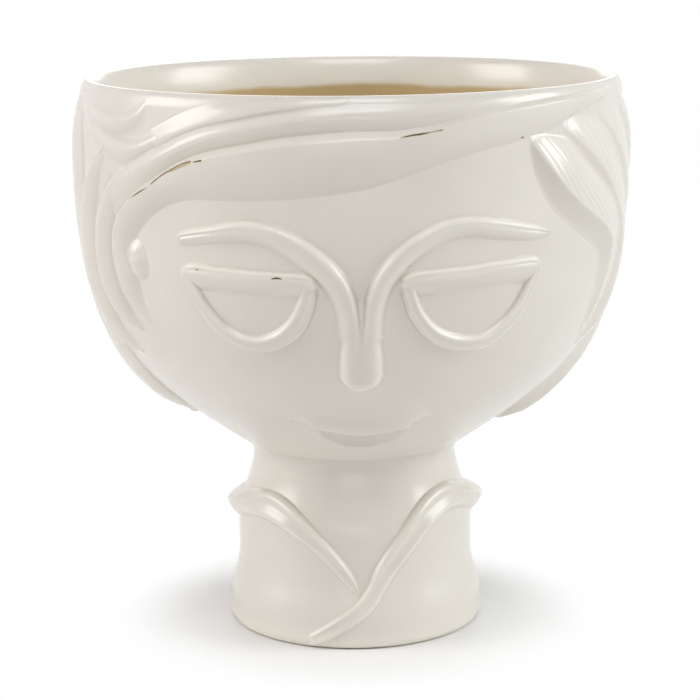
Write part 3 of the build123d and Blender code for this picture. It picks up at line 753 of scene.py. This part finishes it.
# The lips are two sprigs: the upper one a thin curved ledge, the lower one a crescent that slopes back
# under it. Both are pressed on the turn of the wall under the nose.
upper_lip_rows = [
    (-17.4, 88.6, 2.6, 0.4),
    (-13.2, 90.2, 7.0, 1.8),
    (-8.5, 88.8, 6.4, 2.3),
    (-3.5, 87.6, 6.2, 2.6),
    (1.7, 86.5, 6.0, 2.7),
    (7.0, 87.4, 7.0, 2.6),
    (12.0, 89.8, 9.8, 2.5),
    (16.5, 90.9, 8.8, 1.8),
    (20.6, 89.9, 3.2, 0.4),
]
lower_lip_rows = [
    (-12.0, 85.2, 1.6, 0.3),
    (-9.2, 83.8, 4.4, 1.3),
    (-6.0, 82.0, 6.5, 2.1),
    (-1.8, 80.2, 7.8, 2.5),
    (2.8, 79.5, 8.1, 2.6),
    (7.6, 80.3, 7.6, 2.5),
    (11.4, 81.6, 6.2, 2.0),
    (14.4, 83.6, 3.8, 1.2),
    (16.6, 85.2, 1.6, 0.3),
]


def swell(place):
    """A section that swells to its crest at t = place: cos^2 of a quarter turn on each side, then a fall."""
    def section(t, along, crest):
        s = from_crest(t, place)
        return crest * (np.cos(np.pi / 2 * np.minimum(s, 1)) ** 2 - 2 * np.maximum(s - 1, 0))
    return section


upper_lip = lay(BOWL, upper_lip_rows, swell(-0.5), foot=0.3)
lower_lip = lay(BOWL, lower_lip_rows, crested(0.7, 1.2), foot=0.4)
# Painted light: the upper lip's edge gets a full painted highlight and no painted shade; the lower lip is
# painted in shade all over, most where it stands highest.
press("upper_lip", upper_lip, [lower_lip], stations=130, across=49, thin_and_highlight=1.0, shade_hollows=0.0, join=0.3)
press("lower_lip", lower_lip, [upper_lip], stations=110, across=49, shade_all=1.0, join=0.3)

# The fringe is two long locks laid across the forehead from the right: a thin one along the rim, and a
# broad one under it that turns down beside the ear. The broad one pulled away a little in the kiln, so
# it has cracks.
fringe_upper_rows = [
    (44.0, 198.2, 1.0, 0.05),
    (36.0, 197.2, 2.0, 0.4),
    (28.0, 196.2, 2.8, 0.7),
    (20.0, 194.9, 3.4, 1.0),
    (12.0, 193.4, 3.8, 1.3),
    (3.0, 192.8, 4.2, 1.6),
    (-6.0, 192.3, 4.3, 2.0),
    (-13.0, 191.0, 4.3, 2.3),
    (-20.0, 188.9, 4.4, 2.5),
    (-27.0, 186.7, 4.3, 2.6),
    (-33.0, 183.5, 4.2, 2.6),
    (-39.0, 179.0, 4.2, 2.6),
    (-44.5, 174.6, 4.8, 2.3),
    (-50.0, 170.0, 5.4, 1.9),
    (-55.0, 164.4, 5.4, 1.7),
    (-58.0, 157.6, 4.0, 1.2),
]
rim_band_rows = [
    (-2.0, 198.2, 1.2, 0.2),
    (-9.0, 197.6, 1.8, 0.7),
    (-17.0, 196.2, 2.6, 1.3),
    (-24.0, 194.2, 3.2, 1.6),
    (-30.0, 191.8, 3.4, 1.6),
    (-36.0, 188.4, 3.4, 1.4),
    (-41.0, 184.6, 2.8, 0.8),
]
fringe_lower_rows = [
    (66.0, 197.2, 0.9, 0.4),
    (60.0, 196.2, 1.6, 1.2),
    (49.0, 193.8, 3.3, 2.0),
    (41.7, 192.0, 4.9, 2.3),
    (33.0, 190.2, 5.8, 2.2),
    (25.6, 188.4, 5.9, 2.5),
    (17.5, 185.2, 5.7, 2.8),
    (8.5, 181.9, 7.1, 3.0),
    (1.6, 180.4, 8.6, 3.1),
    (-6.0, 179.2, 9.1, 3.6),
    (-13.0, 178.0, 9.1, 3.7),
    (-20.0, 176.4, 8.4, 3.7),
    (-27.0, 174.9, 7.4, 3.7),
    (-33.5, 172.6, 6.0, 3.6),
    (-38.6, 169.3, 5.0, 3.6),
    (-42.6, 166.0, 4.7, 3.6),
    (-46.8, 161.6, 5.0, 3.7),
    (-51.2, 155.2, 5.4, 3.8),
    (-53.1, 147.8, 5.6, 3.8),
    (-53.3, 140.4, 5.6, 3.6),
    (-52.8, 133.2, 5.0, 3.2),
    (-51.6, 127.6, 3.8, 1.9),
    (-49.6, 122.8, 1.8, 0.6),
]
LIP_ALONG = (0.0, 160.0, 182.0, 200.0, 218.0)
LIP_PLACE = (-0.62, -0.68, -0.6, -0.45, -0.3)
STEP_SHARE = (0.7, 0.2, 0.25, 0.2, 0.0)
FRINGE_MARGIN = 2.6
FRINGE_FOOT = 1.2


def lipped_lock(t, along, crest):
    """A lock with a lip at t = place: a steep drop above it, a long slope below that ends in a step.

    Along the lock the lip moves from its upper edge to its middle, and the step dies away in the cheek.
    """
    place = np.interp(along, LIP_ALONG, LIP_PLACE)
    step = np.interp(along, LIP_ALONG, STEP_SHARE)
    up = np.maximum(place - t, 0) / (1 + place)
    down = np.maximum(t - place, 0) / (1 - place)
    return crest * (1 - up**1.6 - (1 - step) * down**1.9 - step * down**5)


def bare(t, along, crest):
    """No height at all: the path that carries a mesh for ridges laid over it."""
    return np.full_like(t, DEEPEST)


fringe_upper = lay(BOWL, fringe_upper_rows, crested(-0.1), FRINGE_FOOT)
rim_band = lay(BOWL, rim_band_rows, crested(0.35, 1.8), FRINGE_FOOT)
fringe_lower = lay(BOWL, fringe_lower_rows, lipped_lock, foot=2.2, steps=460)
carrier_rows = np.array(fringe_upper_rows) + (0, FRINGE_MARGIN / 2, FRINGE_MARGIN, 0)
carrier = lay(BOWL, carrier_rows, bare, FRINGE_FOOT)
over_forehead = [fringe_upper, rim_band, fringe_lower]
# Painted light: the fringe's crests get a painted highlight and its hollows painted shade.
press("fringe_upper", carrier, over_forehead, stations=200, across=57, thin_and_highlight=0.4, join=0.7)
above_lip = np.linspace(-EDGE_REACH, -1.0, 12)
near_lip = np.linspace(-0.98, -0.38, 36)
below_lip = np.linspace(-0.33, EDGE_REACH, 33)
lip_reach = np.r_[above_lip, near_lip, below_lip]
press("fringe_lower", fringe_lower, over_forehead[:2], stations=420, reach=lip_reach, thin_and_highlight=0.6, join=0.7)

# The ear is one round stud of the same clay: a small ball pressed flat on the wall beside the lock, and
# smoothed round its foot with a wet brush.
ear_stud_rows = [(-49.2, 145.0, 5.2, 2.2), (-49.1, 143.4, 5.6, 2.5), (-49.0, 141.8, 5.2, 2.1)]
ear_stud = lay(BOWL, ear_stud_rows, crested(0.0), foot=1.2)
# Painted shade greys the hollow round the stud's foot.
press("ear_stud", ear_stud, [fringe_lower], stations=40)

# The left side's hair hangs in three smooth locks under two soft curls at the parting, pressed in moulds.
# They lap over the fringe's end and each other, and the valleys between them are painted grey as painted
# shade.
left_lock_rows = [
    [(-52.0, 172.0, 3.4, 0.8), (-55.6, 165.0, 6.2, 2.1), (-58.4, 157.0, 7.0, 3.6), (-60.2, 148.0, 6.8, 4.0),
     (-60.8, 140.0, 6.6, 4.0), (-60.4, 133.0, 6.6, 3.9), (-58.9, 126.6, 6.0, 3.4), (-56.2, 121.8, 4.2, 2.3),
     (-53.4, 118.8, 1.8, 0.6)],
    [(-60.5, 178.0, 3.4, 0.8), (-64.5, 170.0, 5.8, 2.3), (-67.6, 160.0, 7.4, 3.4), (-69.6, 148.0, 8.2, 3.7),
     (-70.2, 136.0, 8.2, 3.7), (-69.2, 125.0, 7.6, 3.6), (-66.4, 117.0, 6.0, 3.1), (-62.6, 111.8, 3.6, 1.9),
     (-59.0, 109.0, 1.6, 0.5)],
    [(-76.6, 195.0, 4.5, 0.3), (-78.0, 189.0, 7.0, 1.6), (-79.0, 179.0, 9.0, 2.7), (-80.0, 162.0, 10.0, 2.9),
     (-80.6, 146.0, 10.2, 2.9), (-80.0, 130.0, 10.2, 2.9), (-77.6, 116.0, 10.4, 3.2),
     (-76.8, 105.0, 10.6, 3.9), (-77.8, 96.0, 9.8, 4.6), (-79.0, 88.0, 7.6, 4.4), (-80.4, 82.0, 4.0, 2.2)],
]
crown_curl_rows = [
    [(-68.0, 193.5, 2.0, 0.2), (-63.0, 190.4, 3.8, 1.0), (-57.0, 188.4, 4.4, 1.3), (-51.0, 188.6, 4.2, 1.3),
     (-46.6, 191.6, 3.4, 1.0), (-44.4, 195.6, 2.0, 0.2)],
    [(-69.0, 186.4, 2.0, 0.2), (-62.0, 184.0, 4.0, 1.1), (-56.0, 180.8, 4.6, 1.6), (-49.8, 179.4, 4.6, 1.8),
     (-44.4, 181.6, 4.0, 1.5), (-40.4, 185.2, 2.4, 0.4)],
]
LOCK_FOOT = 0.5
left_sections = [swell(-0.3), swell(-0.3), crested(-0.3, 2.2, 1.8)]
left_locks = [lay(BOWL, rows, section, LOCK_FOOT) for rows, section in zip(left_lock_rows, left_sections)]
curls = [lay(BOWL, rows, swell(0.2), LOCK_FOOT) for rows in crown_curl_rows]
for k, lock in enumerate(left_locks):
    beside = [other for n, other in enumerate(left_locks) if abs(n - k) == 1] + [fringe_upper, fringe_lower]
    press(f"left_lock_{k + 1}", lock, beside, stations=150, thin_and_highlight=0.5, shade_hollows=2.0, join=0.4)
# Painted light: the curls' crests get a painted highlight and their hollows painted shade.
for k, curl in enumerate(curls):
    beside = [curls[1 - k], left_locks[0], left_locks[1], fringe_upper, rim_band]
    press(f"crown_curl_{k + 1}", curl, beside, stations=100, across=33, thin_and_highlight=0.4, join=1.0)

# The right side's hair sweeps back from the forehead in four flat locks, finely combed on the slant.
# The first has a steep front edge that shades the cheek.
right_lock_rows = [
    [(37.4, 183.6, 2.0, 0.4), (39.4, 180.8, 5.4, 2.2), (43.6, 174.8, 10.0, 3.8), (48.6, 168.0, 11.6, 4.2),
     (55.0, 161.6, 11.8, 4.2), (61.8, 155.6, 11.8, 4.0), (67.0, 148.6, 11.4, 3.4), (69.2, 141.0, 11.0, 2.6),
     (69.4, 134.0, 10.0, 2.1), (68.6, 127.0, 8.4, 1.7), (67.0, 120.4, 6.0, 1.2), (65.2, 115.4, 3.0, 0.5)],
    [(47.0, 187.0, 3.5, 0.4), (52.6, 182.4, 8.0, 1.8), (59.0, 175.5, 11.0, 3.0), (66.0, 165.4, 12.0, 3.3),
     (72.4, 154.6, 12.0, 3.3), (76.8, 143.0, 11.6, 3.2), (78.4, 131.4, 11.0, 3.0), (77.4, 121.0, 9.0, 2.7),
     (73.6, 113.6, 6.0, 2.0), (68.0, 109.4, 2.6, 0.7)],
    [(60.0, 190.6, 4.5, 0.4), (66.0, 184.0, 9.0, 1.8), (72.0, 175.6, 11.0, 2.8), (78.6, 164.6, 11.6, 2.6),
     (84.4, 152.4, 11.6, 2.2), (88.0, 139.0, 11.4, 2.3), (89.2, 125.0, 10.8, 2.8), (88.2, 111.6, 10.2, 3.5),
     (86.4, 100.0, 9.6, 4.6), (84.6, 90.0, 8.4, 5.4), (83.6, 82.6, 6.4, 5.0), (83.0, 77.6, 3.2, 2.6)],
    [(74.0, 191.6, 5.0, 0.8), (80.0, 182.6, 9.4, 2.4), (86.0, 171.4, 10.8, 2.7), (92.4, 158.4, 11.0, 2.4),
     (97.4, 144.4, 10.8, 2.6), (100.4, 129.6, 10.4, 3.0), (101.0, 114.0, 9.6, 3.4), (99.6, 100.0, 9.0, 4.4),
     (97.2, 90.0, 8.0, 5.2), (95.0, 82.0, 5.8, 4.8), (93.4, 77.0, 3.0, 2.4)],
]
STRAND_SPACING = 3.1
STRAND_STRETCH, STRAND_SLANT = 3.6, 0.35
STRAND_DEPTH = 0.06
STRAND_CREST = 2.0
FLANK_HOLLOW = 1.4
RIGHT_CRESTS = (-0.4, -0.3, -0.2, -0.2)


def strand_fade(t, crest):
    """How strong a lock's strands are: full along its middle, and none at its edges or where it runs out."""
    return np.clip(1 - t**2, 0, 1) * np.minimum(crest / STRAND_CREST, 1)


def swept(place):
    """A lock with its crest at t = place, a hollow flank before it and strands that slant across the rest."""
    def section(t, along, crest):
        front = np.maximum(place - t, 0) / (1 + place)
        past = np.maximum(t - place, 0) / (1 - place)
        hollow = np.maximum(1 - front, 0) ** FLANK_HOLLOW - 2 * np.maximum(front - 1, 0)
        slant = STRAND_STRETCH * t * crest + STRAND_SLANT * along
        comb = np.cos(2 * np.pi * slant / STRAND_SPACING) * strand_fade(t, crest) * (t > place)
        return crest * (hollow - past**2.1) + STRAND_DEPTH * comb
    return section


right_locks = [lay(BOWL, rows, swept(place), LOCK_FOOT) for rows, place in zip(right_lock_rows, RIGHT_CRESTS)]
# Painted light: the locks' crests get a painted highlight and their hollows painted shade.
for k, lock in enumerate(right_locks):
    beside = [other for n, other in enumerate(right_locks) if abs(n - k) == 1] + [fringe_lower]
    press(f"right_lock_{k + 1}", lock, beside, stations=190, across=81, thin_and_highlight=0.5, join=1.4, seam=0.2)

# Round the back the hair falls in twelve long waved locks, from the parting under the rim to the nape.
# All come from one mould, laid side by side so that each laps the next, and are combed while soft.
BACK_COUNT = 12
BACK_FIRST, BACK_LAST = 117.0, 264.0
BACK_LEAN_FIRST, BACK_LEAN_LAST = -22.0, 5.0
BACK_HALF, BACK_CREST = 12.6, 3.1
BACK_STRANDS, BACK_STRAND_DEPTH = 4.2, 0.26
BACK_STRAND_LEAN, BACK_STRAND_SHIFT = 0.0025, 0.9
back_rows = [
    (-0.10, 1.06, 195.5, 0.40, 0.03),
    (-0.08, 0.92, 191.0, 0.64, 0.30),
    (-0.06, 0.80, 186.0, 0.86, 0.70),
    (0.02, 0.56, 178.0, 0.98, 0.95),
    (0.14, 0.30, 165.7, 1.00, 1.00),
    (0.18, 0.08, 149.8, 1.00, 1.00),
    (0.06, 0.00, 132.7, 1.00, 1.00),
    (-0.10, 0.00, 115.5, 0.92, 1.00),
    (-0.08, 0.02, 100.0, 0.82, 1.30),
    (0.02, 0.04, 90.0, 0.72, 1.55),
    (0.10, 0.05, 82.4, 0.52, 1.45),
    (0.18, 0.06, 77.4, 0.26, 0.70),
]


def combed(t, along, crest):
    """A lock with combed strands: 1 - |t|^2.2 plus a cosine across it that leans over along the lock."""
    comb = np.cos(np.pi * BACK_STRANDS * (t + BACK_STRAND_LEAN * along) + BACK_STRAND_SHIFT)
    return crest * (1 - np.abs(t) ** 2.2) + BACK_STRAND_DEPTH * comb * strand_fade(t, crest)


back_azimuths = np.linspace(BACK_FIRST, BACK_LAST, BACK_COUNT)
back_leans = np.linspace(BACK_LEAN_FIRST, BACK_LEAN_LAST, BACK_COUNT)
back_spacing = back_azimuths[1] - back_azimuths[0]
back_locks = []
for azimuth, lean in zip(back_azimuths, back_leans):
    rows = [(azimuth + sway * back_spacing + lean * bent, level, BACK_HALF * wide, BACK_CREST * high)
            for sway, bent, level, wide, high in back_rows]
    back_locks.append(lay(BOWL, rows, combed, foot=1.2))
ring_of_locks = [right_locks[-1], *back_locks, left_locks[-1]]
# Painted shade greys the hollows between each lock's strands.
for k, lock in enumerate(back_locks):
    beside = [ring_of_locks[k], ring_of_locks[k + 2]]
    press(f"back_lock_{k + 1}", lock, beside, stations=160, across=49, join=1.2)

# The collar is three rolls of clay on the neck: two lapels that cross low on the front, the right one over
# the left, and a standing roll round the back. Their edges are cream, as thin glaze and as painted highlight.
lapel_right_rows = [
    (102.0, 43.5, 4.8, 3.6),
    (95.0, 44.0, 5.4, 5.2),
    (84.0, 45.4, 5.2, 5.0),
    (70.0, 48.6, 5.0, 4.2),
    (56.0, 50.2, 5.0, 3.4),
    (44.0, 48.6, 5.2, 3.0),
    (34.0, 44.8, 4.7, 3.0),
    (26.4, 39.0, 4.5, 2.8),
    (20.0, 33.3, 4.2, 2.6),
    (14.6, 27.9, 3.7, 2.5),
    (10.2, 22.4, 3.3, 2.5),
    (6.0, 17.5, 3.2, 2.5),
    (0.2, 13.2, 3.1, 2.4),
    (-7.5, 9.1, 2.9, 2.2),
    (-14.6, 5.5, 2.7, 2.0),
    (-18.2, 3.9, 2.4, 1.6),
]
lapel_left_rows = [
    (-102.0, 42.6, 4.4, 3.2),
    (-95.0, 42.8, 5.0, 4.6),
    (-82.0, 44.2, 4.9, 4.4),
    (-68.0, 46.9, 5.0, 3.8),
    (-55.0, 48.2, 5.1, 3.1),
    (-44.0, 47.9, 5.2, 2.8),
    (-33.5, 45.4, 4.6, 2.9),
    (-23.4, 41.0, 3.6, 2.8),
    (-16.0, 36.4, 3.0, 2.6),
    (-9.3, 30.9, 2.7, 2.4),
    (-4.5, 26.5, 2.3, 2.1),
    (-1.2, 22.8, 1.7, 1.6),
    (0.9, 20.0, 0.9, 0.6),
]
collar_back_rows = [
    (88.0, 44.8, 4.8, 3.6),
    (95.0, 44.0, 5.4, 5.2),
    (106.0, 43.4, 5.0, 4.8),
    (118.0, 43.8, 4.6, 4.4),
    (131.0, 45.0, 4.5, 4.4),
    (146.0, 48.2, 4.5, 4.6),
    (163.0, 50.6, 4.5, 4.8),
    (180.0, 51.2, 4.5, 4.8),
    (197.0, 50.4, 4.5, 4.8),
    (214.0, 47.8, 4.5, 4.6),
    (229.0, 44.4, 4.5, 4.4),
    (242.0, 43.0, 4.6, 4.4),
    (254.0, 42.6, 4.9, 4.5),
    (265.0, 42.8, 5.0, 4.6),
    (272.0, 43.4, 4.4, 3.2),
]
BAND_FROM, BAND_TO = 17.5, 39.5
BAND_HOLLOW = 0.4
COLLAR_FOOT = 1.3


def tent(t, along, crest):
    """A turned-up roll: a wedge with a rounded tip, 1 - |t|^1.4."""
    return crest * (1 - np.abs(t) ** 1.4)


def lapel(t, along, crest):
    """A turned-up roll at the side that flattens, towards the front, into a band hollow along its middle."""
    flat = np.clip((along - BAND_FROM) / (BAND_TO - BAND_FROM), 0, 1)
    flat = flat * flat * (3 - 2 * flat)
    return (1 - flat) * tent(t, along, crest) + flat * crest * dished(t, BAND_HOLLOW)


lapel_right = lay(NECK, lapel_right_rows, lapel, COLLAR_FOOT)
lapel_left = lay(NECK, lapel_left_rows, lapel, COLLAR_FOOT)
collar_back = lay(NECK, collar_back_rows, tent, COLLAR_FOOT)
# Painted light: the rolls' edges get a painted highlight and their hollows painted shade.
press("lapel_right", lapel_right, [collar_back], stations=200, across=49, thin_and_highlight=1.0)
press("lapel_left", lapel_left, [collar_back, lapel_right], stations=170, across=49, thin_and_highlight=1.0)
press("collar_back", collar_back, [lapel_right, lapel_left], stations=220, thin_and_highlight=0.8)

# The floor, light and camera of a plain studio: a white table under a white surround, with soft light from
# both sides and above, and the camera a little over the rim, as in the photograph.
FLOOR_HALF = 3.0
FADE_START, FADE_END = 0.046, 0.092
TABLE_WHITE, TABLE_ROUGH = (0.93, 0.93, 0.93, 1), 0.8
SKY_STRENGTH = 0.12
LIGHT_AIM = (0.0, 0.0, 0.12)


def shown_plain(tree):
    """1 for the rays that show the surround itself: to the camera, in a reflection or through glass."""
    rays = node_of(tree, "ShaderNodeLightPath").outputs
    seen = math_of(tree, "MAXIMUM", rays["Is Camera Ray"], rays["Is Glossy Ray"])
    return math_of(tree, "MAXIMUM", seen, rays["Is Transmission Ray"])


def white_table():
    """A white table that keeps the shadow under the pot and fades out to plain white for the camera."""
    material, tree, shader = finish_of("white_table")
    shader.inputs["Base Color"].default_value = TABLE_WHITE
    shader.inputs["Roughness"].default_value = TABLE_ROUGH
    place = node_of(tree, "ShaderNodeTexCoord").outputs["Object"]
    reach = node_of(tree, "ShaderNodeVectorMath", {0: place}, operation="LENGTH").outputs["Value"]
    fade = math_of(tree, "MULTIPLY", level_of(tree, reach, FADE_START, FADE_END), shown_plain(tree))
    white = node_of(tree, "ShaderNodeEmission", {"Color": (1, 1, 1, 1), "Strength": 1.0}).outputs[0]
    mixed = node_of(tree, "ShaderNodeMixShader", {0: fade, 1: shader.outputs[0], 2: white}).outputs[0]
    tree.links.new(mixed, tree.nodes["Material Output"].inputs["Surface"])
    return material


table_mesh = bpy.data.meshes.new("table")
corners = [(x * FLOOR_HALF, y * FLOOR_HALF, 0.0) for x, y in ((-1, -1), (1, -1), (1, 1), (-1, 1))]
table_mesh.from_pydata(corners, [], [(0, 1, 2, 3)])
table_mesh.materials.append(white_table())
table = bpy.data.objects.new("table", table_mesh)
bpy.context.collection.objects.link(table)

world = bpy.data.worlds.new("studio")
bpy.context.scene.world = world
world.use_nodes = True
tree = world.node_tree
sky = tree.nodes["Background"]
sky.inputs["Color"].default_value = (1, 1, 1, 1)
sky.inputs["Strength"].default_value = SKY_STRENGTH
white = node_of(tree, "ShaderNodeBackground", {"Color": (1, 1, 1, 1), "Strength": 1.0}).outputs[0]
mixed = node_of(tree, "ShaderNodeMixShader", {0: shown_plain(tree), 1: sky.outputs[0], 2: white}).outputs[0]
tree.links.new(mixed, tree.nodes["World Output"].inputs["Surface"])


def softbox(name, place, size, power, colour):
    """A square area lamp at a place, aimed at the middle of the pot."""
    lamp = bpy.data.lights.new(name, "AREA")
    lamp.size = size
    lamp.energy = power
    lamp.color = colour
    holder = bpy.data.objects.new(name, lamp)
    holder.location = place
    aim = Vector(LIGHT_AIM) - Vector(place)
    holder.rotation_euler = aim.to_track_quat("-Z", "Y").to_euler()
    bpy.context.collection.objects.link(holder)


softbox("left_light", (-1.20, -0.20, 0.62), 0.7, 7.8, (1.0, 0.965, 0.95))
softbox("right_light", (1.20, -0.16, 0.62), 0.7, 8.7, (0.985, 1.0, 0.995))
softbox("top_light", (0.0, -0.65, 1.10), 0.6, 4.45, (0.97, 0.985, 1.0))
softbox("front_light", (0.0, -1.3, 0.08), 0.6, 1.9, (1.0, 0.95, 0.88))
softbox("back_light", (0.0, 1.2, 0.70), 0.8, 3.4, (1.0, 1.0, 1.0))

CAMERA_PLACE = (0.0, -0.794, 0.2592)
CAMERA_PITCH, CAMERA_ROLL, CAMERA_YAW = np.radians((11.38, -0.54, 0.09))
lens = bpy.data.cameras.new("camera")
lens.sensor_width = 36.0
lens.lens = 113.84
lens.clip_start = 0.01
camera = bpy.data.objects.new("camera", lens)
camera.location = CAMERA_PLACE
turn = Euler((np.pi / 2 - CAMERA_PITCH, 0, CAMERA_YAW)).to_matrix() @ Matrix.Rotation(CAMERA_ROLL, 3, "Z")
camera.rotation_euler = turn.to_euler()
bpy.context.collection.objects.link(camera)
bpy.context.scene.camera = camera
bpy.context.scene.view_settings.view_transform = "Standard"
